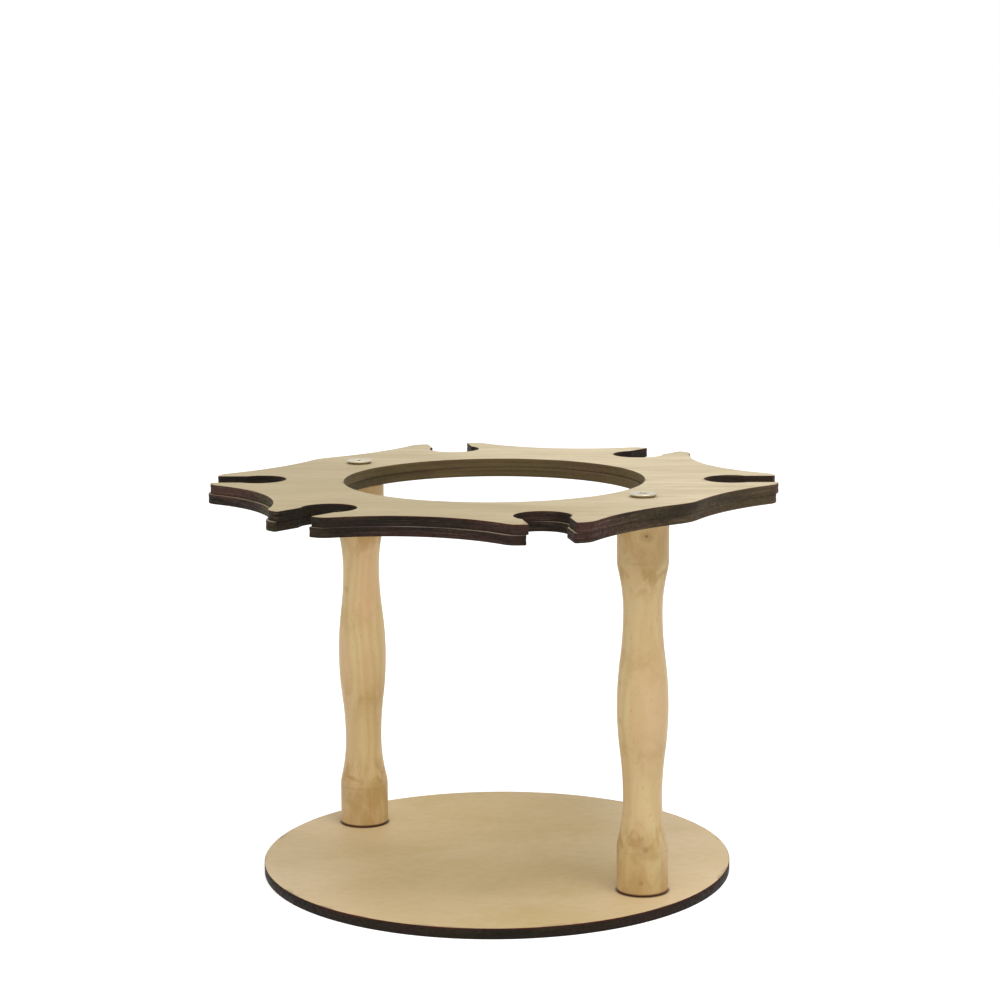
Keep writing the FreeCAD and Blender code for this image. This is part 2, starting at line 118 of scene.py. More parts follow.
# Nodes by what they do: type, settings, inputs in the order that values are given in, and the output used
NODE_KINDS = {
    "place": ("ShaderNodeTexCoord", {}, (), "Object"),
    "facing": ("ShaderNodeTexCoord", {}, (), "Normal"),
    "attribute": ("ShaderNodeAttribute", {}, (), "Fac"),
    "turned": (
        "ShaderNodeMapping", {"vector_type": "TEXTURE"},
        ("Vector", "Location", "Rotation", "Scale"), "Vector"),
    "noise": ("ShaderNodeTexNoise", {}, ("Vector", "Scale", "Detail", "Roughness", "Distortion"), "Fac"),
    "height": ("ShaderNodeSeparateXYZ", {}, ("Vector",), "Z"),
    "vector": ("ShaderNodeCombineXYZ", {}, ("X", "Y", "Z"), "Vector"),
    "stretch": ("ShaderNodeVectorMath", {"operation": "MULTIPLY"}, (0, 1), "Vector"),
    "length": ("ShaderNodeVectorMath", {"operation": "LENGTH"}, (0,), "Value"),
    "distance": ("ShaderNodeVectorMath", {"operation": "DISTANCE"}, (0, 1), "Value"),
    "reach": ("ShaderNodeVectorMath", {"operation": "DOT_PRODUCT"}, (0, 1), "Value"),
    "ramp": ("ShaderNodeMapRange", {"interpolation_type": "SMOOTHSTEP"}, range(5), "Result"),
    "blend": ("ShaderNodeMix", {"data_type": "RGBA"}, (0, 6, 7), 2),
    "bump": ("ShaderNodeBump", {}, ("Strength", "Distance", "Height"), "Normal"),
    "shader": ("ShaderNodeBsdfPrincipled", {}, (), "BSDF"),
    "glow": ("ShaderNodeEmission", {}, ("Color", "Strength"), "Emission"),
    "both": ("ShaderNodeAddShader", {}, (0, 1), "Shader"),
    "sky": ("ShaderNodeBackground", {}, ("Color", "Strength"), "Background"),
    "material_output": ("ShaderNodeOutputMaterial", {}, ("Surface",), None),
    "world_output": ("ShaderNodeOutputWorld", {}, ("Surface",), None),
    "two_points": (
        "GeometryNodeMeshLine", {"mode": "END_POINTS"}, ("Count", "Start Location", "Offset"), "Mesh"),
    "number": ("GeometryNodeInputIndex", {}, (), "Index"),
    "object": ("GeometryNodeObjectInfo", {}, ("Object", "As Instance"), "Geometry"),
    "copies": ("GeometryNodeInstanceOnPoints", {}, ("Points", "Instance", "Rotation"), "Instances"),
    "real": ("GeometryNodeRealizeInstances", {}, ("Geometry",), "Geometry"),
    "coated": ("GeometryNodeSetMaterial", {}, ("Geometry", "Material"), "Geometry"),
    "group_output": ("NodeGroupOutput", {}, ("Geometry",), None),
}
for operation in ("ADD", "SUBTRACT", "MULTIPLY", "DIVIDE", "MULTIPLY_ADD", "POWER", "SINE", "ABSOLUTE",
                  "MAXIMUM", "LESS_THAN", "GREATER_THAN"):
    NODE_KINDS[operation.lower()] = ("ShaderNodeMath", {"operation": operation}, (0, 1, 2), "Value")


def linear(text):
    """Turn an sRGB hex colour into linear red, green and blue."""
    shares = [int(text[place:place + 2], 16) / 255 for place in (1, 3, 5)]
    return [share / 12.92 if share <= 0.04045 else ((share + 0.055) / 1.055) ** 2.4 for share in shares]


def length_property(name, description, millimetres):
    return FloatProperty(name=name, description=description, default=millimetres * MM, min=0, unit="LENGTH")


def place_property(name, description, metres):
    return FloatVectorProperty(
        name=name, description=description, default=metres, subtype="XYZ", unit="LENGTH")


def colour_property(name, description, text):
    return FloatVectorProperty(
        name=name, description=description, default=linear(text), size=3, min=0, max=1, subtype="COLOR")


def angle_property(name, description, degrees):
    return FloatProperty(name=name, description=description, default=math.radians(degrees), subtype="ANGLE")


class CADDY_PG_sheets(bpy.types.PropertyGroup):
    """Sizes and colours of the laser-cut sheets."""
    rim_width: length_property("Rim Width", "Width of the rubbed-down corner between a face and a cut", 0.12)
    cut_spacing: length_property("Cut Spacing", "Distance between points along a cut", 1.2)
    cut_wander: length_property("Cut Wander", "How far the beam strays from the line", 0.05)
    core_depth: length_property("Core Depth", "How far the middle ply is burnt back", 0.06)
    net_spacing: length_property("Net Spacing", "Distance between points in the middle of a face", 3.6)
    ring_grain: angle_property("Ring Grain", "Direction of the ring veneers' grain", 37)
    figure_lines: FloatProperty(name="Figure Lines", description="Lines in the veneer's figure", default=9)
    hole_radius: length_property("Hole Radius", "Radius of the ring's middle hole", 57)
    # Inner Ledge Shade is the width of painted shade on the ledge round the middle hole
    inner_ledge_shade: length_property("Inner Ledge Shade", "Width of the smoked ledge round the middle hole", 2.2)
    # Foot Shade is the width of painted shade round each post's foot, where the post meets the base
    foot_shade: length_property("Foot Shade", "Width of the dark rim round a post's foot", 1.1)
    base_grain: angle_property("Base Grain", "Direction of the base board's fibres", 44)
    veneer_pale: colour_property("Veneer Pale", "Light wood of the ring's face", "#DECDA9")
    # Veneer Tan And Shade also colours the painted shade at the front of the ring's face
    veneer_tan_and_shade: colour_property("Veneer Tan And Shade", "Darker wood of the ring's face", "#B3A27A")
    veneer_streak: colour_property("Veneer Streak", "Grain lines of the ring's face", "#A4906A")
    board_pale: colour_property("Board Pale", "Light fibre of the base's face", "#DCC49B")
    # Board Tan And Shadow also colours the painted shadow across the middle of the base
    board_tan_and_shadow: colour_property("Board Tan And Shadow", "Darker fibre of the base's face", "#C2A870")
    board_fleck: colour_property("Board Fleck", "Coarse fibres of the base's face", "#A88C5C")
    smoke: colour_property("Smoke", "Wood browned by smoke beside a cut", "#7E5C3A")
    # Scorch And Shade also colours painted shade: the ledge round the middle hole and the rim round each post's
    # foot
    scorch_and_shade: colour_property("Scorch And Shade", "Line burnt along the corner of a cut", "#43231A")
    # Char Black And Shade also colours painted shade on walls in slots and left of the middle
    char_black_and_shade: colour_property("Char Black And Shade", "Deepest char on a cut", "#1B140D")
    char_brown: colour_property("Char Brown", "Thin char on a cut", "#49302A")
    char_olive: colour_property("Char Olive", "Greenish soot on a cut", "#3F371F")
    # Char Ash And Light also lightens the char at the right, partly as painted light
    char_ash_and_light: colour_property("Char Ash And Light", "Ash on the hard layers of a cut", "#7A6752")
    char_crest: colour_property("Char Crest", "Reddish line under the upper corner of a cut", "#5C1B16")
    crest_height: length_property("Crest Height", "Height of the reddish line", 0.6)
    # Char Ledge Highlight is a painted highlight: the pale line where the lower ring sheet's corner catches the
    # light
    char_ledge_highlight: colour_property("Char Ledge Highlight", "Pale line on the lower ring sheet's rubbed corner", "#A89A8E")
    ledge_height: length_property("Ledge Height", "Height of the pale line", 0.3)
    hole_soot: colour_property("Hole Soot", "Thin olive soot on the wall of the middle hole", "#6E5D3B")


class CADDY_PG_posts(bpy.types.PropertyGroup):
    """Sizes and colours of the turned posts."""
    ring_width: length_property("Ring Width", "Width of one year's growth", 3.2)
    pith_reach: length_property("Pith Reach", "Distance from a post's axis to the tree's heart", 26)
    lean: angle_property("Lean", "Angle between a post and the tree's grain", 2.6)
    band_height: length_property("Band Height", "Height of the line that the tool leaves at a shoulder", 0.8)
    shoulder: length_property("Shoulder", "Length of a post's straight ends", 16)
    early_wood: colour_property("Early Wood", "Light part of a year's growth", "#D8BF8A")
    late_wood: colour_property("Late Wood", "Dark part of a year's growth", "#CAAB74")
    blush: colour_property("Blush", "Pinkish heartwood", "#D5AE84")
    end_grain: colour_property("End Grain", "Darker wood where the turning cuts across the grain", "#AD8848")
    fleck: colour_property("Fleck", "Rays that show as short dashes", "#A07A4C")
    # Knot And Shade also colours the painted shade at each end of a post
    knot_and_shade: colour_property("Knot And Shade", "Pin knots and resin specks", "#6B4428")


class CADDY_PG_screws(bpy.types.PropertyGroup):
    """Sizes and colours of the countersunk wood screws."""
    rim_height: length_property("Rim Height", "Height of the head's cylindrical rim", 0.4)
    neck_diameter: length_property("Neck Diameter", "Diameter of the plain shank", 4.2)
    core_diameter: length_property("Core Diameter", "Diameter between the threads", 3.1)
    thread_diameter: length_property("Thread Diameter", "Diameter over the threads", 5)
    thread_pitch: length_property("Thread Pitch", "Distance between two turns of the thread", 2.2)
    neck_length: length_property("Neck Length", "Plain shank between head and thread", 4)
    length: length_property("Length", "From the head's rim to the tip", 40)
    point_length: length_property("Point Length", "Length over which the thread runs out", 7)
    tip_diameter: length_property("Tip Diameter", "Diameter of the blunt tip", 1.6)
    recess_span: length_property("Recess Span", "Width of the cross recess", 5)
    recess_width: length_property("Recess Width", "Width of one arm of the recess", 1.1)
    recess_depth: length_property("Recess Depth", "Depth of the recess below the rim", 2)
    sides: IntProperty(name="Sides", description="Points round a screw", default=48, min=12)
    turn: angle_property("Turn", "How far the first screw is turned", 73)
    turn_step: angle_property("Turn Step", "How much further the next screw is turned", 51)
    rim_round: length_property("Rim Round", "Rounding of the head's upper corner", 0.3)
    # The zinc's warm tinge is painted reflection of the wood round the screws
    zinc: colour_property("Zinc", "Colour of the zinc plate", "#D0C6AE")
    # Recess Shade is painted shade in the cross recess
    recess_shade: colour_property("Recess Shade", "Dull zinc and dirt in the recess", "#332D25")


class CADDY_PG_stage(bpy.types.PropertyGroup):
    """Camera, floor and light."""
    azimuth: angle_property("Azimuth", "Angle of the camera round the caddy", 40.74)
    pitch: angle_property("Pitch", "How far the camera looks down", 8.78)
    roll: angle_property("Roll", "How far the camera leans", 0.39)
    distance: length_property("Distance", "From the camera to the caddy's axis along the floor", 930)
    height: length_property("Height", "Height of the camera above the floor", 286.8)
    aside: length_property("Aside", "How far the view passes to the right of the caddy's axis", 2.09)
    lens: FloatProperty(name="Lens", description="Focal length of the camera", default=89.1, unit="CAMERA")
    sensor: FloatProperty(name="Sensor", description="Width of the sensor", default=36, unit="CAMERA")
    floor_size: length_property("Floor Size", "Width of the floor", 8000)
    floor_colour: colour_property("Floor Colour", "Pale matt table", "#F2F2F0")
    floor_glow: FloatProperty(
        name="Floor Glow", description="Plain white added to the floor that the camera sees", default=0.55)
    sky: FloatProperty(name="Sky", description="Strength of the light from all round", default=0.55)
    key_power: FloatProperty(name="Key Power", description="Power of the main lamp", default=13, unit="POWER")
    key_size: length_property("Key Size", "Width of the main lamp", 900)
    key_place: place_property(
        "Key Place", "How far the main lamp hangs to the right, towards the camera and up", (0.35, 0.6, 1.5))
    fill_power: FloatProperty(
        name="Fill Power", description="Power of the weak lamp", default=4, unit="POWER")
    fill_size: length_property("Fill Size", "Width of the weak lamp", 1200)
    fill_place: place_property("Fill Place", "The same for the weak lamp", (-1.0, 1.2, 0.7))


def add_node(tree, kind, *values, **settings):
    """Add a node of a kind, feed it values or other nodes' sockets in order and return its output."""
    type_name, own_settings, places, output = NODE_KINDS[kind]
    node = tree.nodes.new(type_name)
    for name, setting in {**own_settings, **settings}.items():
        setattr(node, name, setting)
    for place, value in zip(places, values):
        socket = node.inputs[place]
        if isinstance(value, bpy.types.NodeSocket):
            tree.links.new(value, socket)
        else:
            socket.default_value = (*value, 1) if socket.type == "RGBA" else value
    return None if output is None else node.outputs[output]


def new_material(name):
    """Return an empty material, its tree and its surface shader."""
    material = bpy.data.materials.new(name)
    material.use_nodes = True
    tree = material.node_tree
    tree.nodes.clear()
    surface = add_node(tree, "shader")
    add_node(tree, "material_output", surface)
    return material, tree, surface.node


def finish_surface(tree, shader, colour, roughness, relief, depth):
    """Link a material's colour, roughness and relief, whose depth is in millimetres, to its shader."""
    bump = add_node(tree, "bump", 1.0, depth * MM, relief)
    for name, value in (("Base Color", colour), ("Roughness", roughness), ("Normal", bump)):
        tree.links.new(value, shader.inputs[name])


def grain_noise(tree, size, turn=(0, 0, 0), centre=(0, 0, 0), detail=2.0, warp=0.0, rough=0.5):
    """Noise whose spots are about as many millimetres long, wide and high as the size says, along a grain."""
    spots = add_node(tree, "turned", add_node(tree, "place"), centre, turn, [length * MM for length in size])
    return add_node(tree, "noise", spots, 1.0, detail, rough, warp)


def stain(tree, wood, *layers):
    """Colour wood in layers: colour, pattern, the pattern's values where the layer starts and is full, share.

    A layer fades as its pattern rises where it is full at the smaller value."""
    for colour, pattern, start, full, share in layers:
        wood = add_node(tree, "blend", add_node(tree, "ramp", pattern, start, full, 0.0, share), wood, colour)
    return wood


def smoke_beside_cut(tree, wood, look):
    """Brown the wood beside a cut with a soft halo of smoke and a thin burnt line at the corner."""
    add = partial(add_node, tree)
    distance = add("attribute", attribute_name="cut_distance")
    reach = add("ramp", grain_noise(tree, (13, 13, 13), detail=3), 0.52, 0.7, 0.12, 2.6)
    halo = add("subtract", 1.0, add("divide", distance, reach))
    halo = add("power", add("maximum", halo, 0.0), 1.6)
    smoked = add("blend", add("multiply", halo, 0.6), wood, look.smoke)
    return stain(tree, smoked, (look.scorch_and_shade, distance, 0.08, 0.0, 0.6))


def inside_hole(tree, look):
    """Run from 1 on the wall of the middle hole to 0 where the painted shade on the ledge round it ends."""
    radius = add_node(tree, "length", add_node(tree, "stretch", add_node(tree, "place"), (1, 1, 0)))
    return add_node(tree, "ramp", radius, look.hole_radius, look.hole_radius + look.inner_ledge_shade, 1.0, 0.0)


def make_veneer(look):
    """Birch plywood face, sanded and bare: pale, faintly streaked, quite matt, browned beside the cuts."""
    material, tree, shader = new_material("sanded_birch_plywood")
    add = partial(add_node, tree)
    turn = (0, 0, look.ring_grain)
    clouds = grain_noise(tree, (70, 19, 19), turn, detail=4, warp=0.3)
    blots = grain_noise(tree, (17, 4, 4), turn, detail=3, warp=0.25, rough=0.55)
    figure = grain_noise(tree, (170, 15, 15), turn, (0, 30 * MM, 0), detail=1.5, warp=0.1)
    lines = add("sine", add("multiply", figure, look.figure_lines * 2 * math.pi))
    streaks = grain_noise(tree, (40, 1.3, 1.3), turn, detail=4, warp=0.12, rough=0.6)
    fibres = grain_noise(tree, (7, 0.35, 0.35), turn, detail=3, rough=0.65)
    pores = grain_noise(tree, (2.6, 0.3, 0.3), turn, detail=1)
    place = add("place")
    # Painted shade: the ring's face darkens towards the front; the clouds add the veneer's own tan
    side = add("ramp", add("reach", place, TO_THE_DARK), -60 * MM, 60 * MM)
    share = add("multiply_add", side, 0.85, add("ramp", clouds, 0.36, 0.64, 0.0, 0.3))
    wood = stain(
        tree, add("blend", share, look.veneer_pale, look.veneer_tan_and_shade),
        (look.veneer_streak, lines, 0.1, 1.0, 0.22), (look.veneer_streak, blots, 0.46, 0.72, 0.2),
        (look.veneer_streak, streaks, 0.48, 0.76, 0.36), (look.veneer_streak, fibres, 0.45, 0.85, 0.24),
        (look.smoke, pores, 0.68, 0.78, 0.4))
    # Painted shade: the lower sheet's face on the ledge round the middle hole, under the upper sheet's wall, is
    # darkened with the scorch colour
    lower_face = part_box("lower_ring_sheet")[1].z + look.rim_width
    lower = add("less_than", add("height", place), lower_face)
    ledge = add("multiply", inside_hole(tree, look), add("multiply", lower, 0.9))
    wood = smoke_beside_cut(tree, add("blend", ledge, wood, look.scorch_and_shade), look)
    roughness = add("ramp", fibres, 0.3, 0.7, 0.52, 0.7)
    finish_surface(tree, shader, wood, roughness, add("add", fibres, streaks), 0.06)
    return material


def make_board(look):
    """Thin fibreboard, sanded and bare: even tan, soft clouds, a few coarse fibres, a middle darkened in
    painted shadow and painted shade round the posts' feet.
    """
    material, tree, shader = new_material("sanded_fibreboard")
    add = partial(add_node, tree)
    turn = (0, 0, look.base_grain)
    clouds = grain_noise(tree, (75, 40, 40), turn, detail=3, warp=0.5)
    mottle = grain_noise(tree, (4, 2.4, 2.4), turn, detail=4, rough=0.65)
    fibres = grain_noise(tree, (5, 0.4, 0.4), turn, detail=2, warp=1.2)
    dust = grain_noise(tree, (0.5, 0.4, 0.4), turn, detail=1)
    place = add("place")
    right = add("reach", place, TO_THE_RIGHT)
    # Painted shadow: the base is darker across its middle, where the ring's shadow falls, on top of the board's
    # own cloudy tone
    middle = add("multiply", add("ramp", right, 75 * MM, 25 * MM), add("ramp", right, -75 * MM, -25 * MM))
    share = add("multiply_add", middle, 0.65, add("ramp", clouds, 0.34, 0.66, 0.0, 0.35))
    wood = stain(
        tree, add("blend", share, look.board_pale, look.board_tan_and_shadow),
        (look.board_fleck, mottle, 0.42, 0.75, 0.1), (look.board_fleck, fibres, 0.64, 0.82, 0.22),
        (look.board_pale, dust, 0.3, 0.7, 0.1))
    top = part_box("base_disc")[1].z
    on_top = add("greater_than", add("height", place), top - look.rim_width)
    # Painted shade: a dark rim on the top face round each post's foot, where the post meets the base
    shade = add("multiply", on_top, 0.8)
    for node in ("right_post", "left_post"):
        low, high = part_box(node)
        radius = (high.x - low.x) / 2
        away = add("distance", place, ((low.x + high.x) / 2, (low.y + high.y) / 2, top))
        wood = stain(tree, wood, (look.scorch_and_shade, away, radius + look.foot_shade, radius, shade))
    wood = smoke_beside_cut(tree, wood, look)
    roughness = add("ramp", mottle, 0.3, 0.7, 0.5, 0.66)
    finish_surface(tree, shader, wood, roughness, add("add", mottle, dust), 0.035)
    return material


def make_char(name, look, corners, layer, thin, ash, uneven):
    """Laser-burnt edge: sooty and matt, near black, brown or olive where the char is thin, ashen in lines.

    Corners have a height, a colour, a reach below it and a strength. The layer is a ply's height in mm."""
    material, tree, shader = new_material(name)
    add = partial(add_node, tree)
    shader.inputs["Specular IOR Level"].default_value = 0.14
    tints = grain_noise(tree, (34, 34, 8), detail=2, warp=0.5)
    greens = grain_noise(tree, (40, 40, 40), detail=1)
    layers = grain_noise(tree, (20, 20, layer), detail=4, rough=0.65)
    beam = grain_noise(tree, (0.5, 0.5, 6), detail=2)
    soot = grain_noise(tree, (1.6, 1.6, 0.9), detail=3)
    place = add("place")
    # From the left end to the right the char is browner, then blacker left of the middle, then ashier at the
    # right: partly soot, partly painted light and shade by side
    right = add("reach", place, TO_THE_RIGHT)
    burnt = stain(tree, look.char_brown, (
        look.char_olive, right, -92 * MM, -84 * MM, add("ramp", greens, 0.42, 0.6)))
    soot_and_side_shade = add("ramp", right, 45 * MM, 5 * MM, 0.0, 0.42 * uneven)
    char = stain(
        tree, look.char_black_and_shade, (burnt, tints, 0.34, 0.66, thin), (look.char_ash_and_light, layers, 0.5, 0.78, ash),
        (look.char_black_and_shade, soot, 0.45, 0.75, 0.5), (look.char_black_and_shade, beam, 0.5, 0.8, 0.3),
        (look.char_black_and_shade, right, -90 * MM, -60 * MM, soot_and_side_shade),
        (look.char_ash_and_light, right, 35 * MM, 100 * MM, 0.2 * uneven))
    # Painted shade: walls with another wall close in front of them, as in a slot, are blackened
    slot_shade = add("attribute", attribute_name="slot_shade")
    char = add("blend", add("multiply", slot_shade, 0.72), char, look.char_black_and_shade)
    inside = inside_hole(tree, look)
    olive = add("multiply", inside, add("ramp", tints, 0.36, 0.64, 0.68, 0.42))
    char = add("blend", olive, char, look.hole_soot)
    clean = add("multiply", add("multiply_add", inside, -0.9, 1.0), add("multiply_add", slot_shade, -0.7, 1.0))
    patches = add("ramp", grain_noise(tree, (22, 22, 22), detail=3), 0.42, 0.62, 0.4, 1.0)
    patches = add("multiply", patches, clean)
    height = add("height", place)
    for top, colour, reach, strength in corners:
        below = add("subtract", top + MERGE_GAP, height)
        line = add("multiply", patches, add("greater_than", below, 0.0))
        char = stain(tree, char, (colour, below, reach, 0.0, add("multiply", line, strength)))
    roughness = add("ramp", soot, 0.3, 0.7, 0.55, 0.8)
    finish_surface(tree, shader, char, roughness, add("add", layers, beam), 0.12)
    return material


def make_beech(name, look, node, heart_angle, specks):
    """Turned beech, sanded and bare: pale honey, soft growth rings, a few flecks, darker across the grain."""
    material, tree, shader = new_material(name)
    add = partial(add_node, tree)
    low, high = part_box(node)
    heart = (low + high) / 2 + Vector((math.cos(heart_angle), math.sin(heart_angle), 0)) * look.pith_reach
    place = add("place")
    grain = add("turned", place, heart, (look.lean, look.lean / 2, 0))
    radius = add("length", add("stretch", grain, (1, 1, 0)))
    wander = grain_noise(tree, (15, 15, 60), centre=heart, detail=3)
    rings = add("multiply_add", wander, 4.0, add("divide", radius, look.ring_width))
    late = add("sine", add("multiply", rings, 2 * math.pi))
    clouds = grain_noise(tree, (10, 10, 38), centre=heart, detail=4, warp=0.8)
    blots = grain_noise(tree, (6, 6, 9), centre=heart, detail=4, warp=0.6, rough=0.6)
    fibres = grain_noise(tree, (0.4, 0.4, 9), detail=3, rough=0.6)
    rays = grain_noise(tree, (0.4, 0.4, 2.2), detail=0)
    steep = add("absolute", add("height", add("facing")))
    growth = add("ramp", late, -1.0, 1.0, 0.15, 0.6)
    wood = stain(
        tree, add("blend", growth, look.early_wood, look.late_wood),
        (look.blush, clouds, 0.4, 0.7, 0.7), (look.late_wood, blots, 0.5, 0.75, 0.35),
        (look.late_wood, fibres, 0.48, 0.8, 0.25), (look.fleck, rays, 0.74, 0.82, 0.4),
        (look.end_grain, steep, 0.03, 0.25, add("ramp", blots, 0.38, 0.6, 0.1, 0.8)))
    height = add("height", place)
    tool_mark = add("ramp", clouds, 0.4, 0.6, 0.05, 0.3)
    for level in (low.z + look.shoulder, high.z - look.shoulder):
        away = add("absolute", add("subtract", height, level))
        wood = stain(tree, wood, (look.fleck, away, look.band_height, 0.0, tool_mark))
    # Patches darker towards both ends of the post, in the end grain's colour
    toward_ends = add("ramp", blots, 0.36, 0.62, 0.175, 0.5)
    # At each end of a post a dark line in the knot colour is painted shade where the post meets the base and
    # the ring
    for end in (low.z, high.z):
        away = add("absolute", add("subtract", height, end))
        wood = stain(tree, wood, (look.end_grain, away, look.shoulder * 1.8, look.shoulder * 0.9, toward_ends),
                     (look.knot_and_shade, away, look.band_height * 1.6, 0.7 * MM, 0.97))
    for spot, size, strength in specks:
        away = add("distance", place, spot)
        wood = stain(tree, wood, (look.knot_and_shade, away, size, size * 0.3, strength),
                     (look.fleck, away, size * 4, size, strength * 0.4))
    turning = grain_noise(tree, (30, 30, 0.35), detail=1)
    roughness = add("ramp", fibres, 0.3, 0.7, 0.4, 0.56)
    finish_surface(tree, shader, wood, roughness, add("multiply_add", turning, 0.4, fibres), 0.04)
    return material


def make_zinc(look):
    """Zinc plate on steel: silvery with a warm tinge that is painted reflection of the wood, a little uneven in
    its shine, dull and painted dark as shade in the recess.
    """
    material, tree, shader = new_material("bright_zinc_plate")
    add = partial(add_node, tree)
    shader.inputs["Metallic"].default_value = 1.0
    patches = grain_noise(tree, (1.2, 1.2, 1.2), detail=3)
    scuffs = grain_noise(tree, (0.15, 2.2, 0.5), (0, 0, 0.6), detail=2)
    # Painted shade: the cross recess is darkened with its depth
    depth = add("attribute", attribute_name="recess_depth")
    worn = [share * 0.82 for share in look.zinc]
    plate = stain(tree, look.zinc, (worn, patches, 0.4, 0.7, 1.0), (look.recess_shade, depth, 0.0, 0.3, 1.0))
    roughness = add("maximum", add("ramp", scuffs, 0.3, 0.75, 0.3, 0.46),
                    add("ramp", depth, 0.0, 0.3, 0.0, 0.7))
    finish_surface(tree, shader, plate, roughness, scuffs, 0.01)
    return material


def add_object(name, data):
    """Put a mesh, a lamp or a camera in the scene."""
    item = bpy.data.objects.new(name, data)
    bpy.context.scene.collection.objects.link(item)
    return item


def set_values(mesh, name, values):
    """Store a number at each of a mesh's points, for the materials to read."""
    mesh.attributes.new(name, "FLOAT", "POINT").data.foreach_set("value", values)


def strip_between(lower, upper, count):
    """Return the faces between two closed rows of points, which start at the numbers lower and upper."""
    return [(lower + number, lower + (number + 1) % count, upper + (number + 1) % count, upper + number)
            for number in range(count)]


def link_piece(name, mesh, materials, slot, *nodes):
    """Put a finished mesh in the scene as a piece that stands for the named nodes."""
    piece = add_object(name, mesh)
    for material in materials:
        mesh.materials.append(material)
    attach(piece, BODY)
    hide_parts(*nodes)
    return piece


def open_loops(mesh, level):
    """Return the closed loops of open edges at one height, each as points in order."""
    rim = [edge for edge in mesh.edges
           if edge.is_boundary and all(abs(vertex.co.z - level) < MERGE_GAP for vertex in edge.verts)]
    done = set()
    loops = []
    for first in rim:
        if first in done:
            continue
        done.add(first)
        start, current = first.verts
        loop = [start.co.to_2d()]
        while current is not start:
            loop.append(current.co.to_2d())
            edge = next(edge for edge in current.link_edges if edge in rim and edge not in done)
            done.add(edge)
            current = edge.other_vert(current)
        loops.append(loop)
    return loops


def loop_area(loop):
    return sum(here.cross(there) for here, there in zip(loop, loop[1:] + loop[:1])) / 2


def refine_loop(loop, spacing):
    """Divide a loop's long runs, so that no two points lie further apart than the spacing."""
    points = []
    for here, there in zip(loop, loop[1:] + loop[:1]):
        parts = max(1, math.ceil((there - here).length / spacing))
        points += [here.lerp(there, part / parts) for part in range(parts)]
    return points


def inward_turns(loop):
    """Return at each point the direction into the wood, long enough to shift both runs by the same width."""
    turns = []
    count = len(loop)
    for number, here in enumerate(loop):
        before = (here - loop[number - 1]).normalized()
        after = (loop[(number + 1) % count] - here).normalized()
        left = Vector((-before.y - after.y, before.x + after.x)).normalized()
        share = max(0.5, left.dot(Vector((-after.y, after.x))))
        turns.append(left / share)
    return turns


def wall_rows(look, low, high, plies):
    """Return the heights of a cut's rows and how far each row lies inside the line."""
    rim = look.rim_width
    rows = [(low, rim), (low + rim, 0.0)]
    step = (high - low) / plies
    glue = rim / 2
    for ply in range(1, plies):
        sunk_above = look.core_depth if ply % 2 else 0.0
        sunk_below = look.core_depth - sunk_above
        rows += [(low + ply * step - glue, sunk_below), (low + ply * step + glue, sunk_above)]
    return rows + [(high - rim, 0.0), (high, rim)]


def cut_wall(look, loop, rows, seed):
    """Make a cut's wall as rows of points that wander a little, as a beam through wood does."""
    turns = inward_turns(loop)
    points = []
    for height, inset in rows:
        for place, turn in zip(loop, turns):
            spot = Vector((place.x / MM * WANDER_ALONG, place.y / MM * WANDER_ALONG,
                           height / MM * WANDER_DOWN + seed))
            stray = look.cut_wander * (0.5 + 0.5 * noise.noise(spot))
            points.append((place + turn * (inset + stray)).to_3d() + Vector((0, 0, height)))
    count = len(loop)
    faces = []
    for row in range(len(rows) - 1):
        faces += strip_between(row * count, (row + 1) * count, count)
    return points, faces


def face_net(look, loops, wall, clear_of):
    """Choose the points inside a face: rows close to the cuts and an even net between them."""
    taken = {}

    def try_point(place, distance, gap):
        cell = (round(place.x / gap), round(place.y / gap))
        if (gap, cell) in taken:
            return
        nearest, normal, _, away = wall.find_nearest((place.x, place.y, 0))
        outside = (Vector((place.x, place.y, 0)) - nearest).dot(normal) > 0
        if outside or away < distance * 0.9:
            return
        if any((place - centre).length < radius + gap * 0.4 for centre, radius in clear_of):
            return
        taken[(gap, cell)] = place

    for distance in ROWS_BESIDE_CUT:
        for loop in loops:
            for place, turn in zip(loop, inward_turns(loop)):
                try_point(place + turn * distance, distance, max(distance, ROW_GAP))
    spacing = look.net_spacing
    reach = max(abs(place.x) + abs(place.y) for loop in loops for place in loop)
    count = math.ceil(reach / spacing)
    for row in range(-count, count + 1):
        for column in range(-count, count + 1):
            place = Vector(((column + 0.5 * (row % 2)) * spacing, row * spacing * math.sqrt(0.75)))
            try_point(place, spacing, spacing / 2)
    return list(taken.values())


def wood_triangles(triangles, lines):
    """Keep the triangles that are wood.

    From the hull inwards, each line that is crossed changes air to wood or wood to air."""
    beside = {}
    for number, corners in enumerate(triangles):
        for pair in zip(corners, corners[1:] + corners[:1]):
            beside.setdefault(frozenset(pair), []).append(number)
    start = next(pair for pair, numbers in beside.items() if len(numbers) == 1)
    is_wood = {beside[start][0]: start in lines}
    waiting = [beside[start][0]]
    while waiting:
        number = waiting.pop()
        corners = triangles[number]
        for pair in zip(corners, corners[1:] + corners[:1]):
            side = frozenset(pair)
            for other in beside[side]:
                if other not in is_wood:
                    is_wood[other] = is_wood[number] != (side in lines)
                    waiting.append(other)
    return [corners for number, corners in enumerate(triangles) if is_wood[number]]


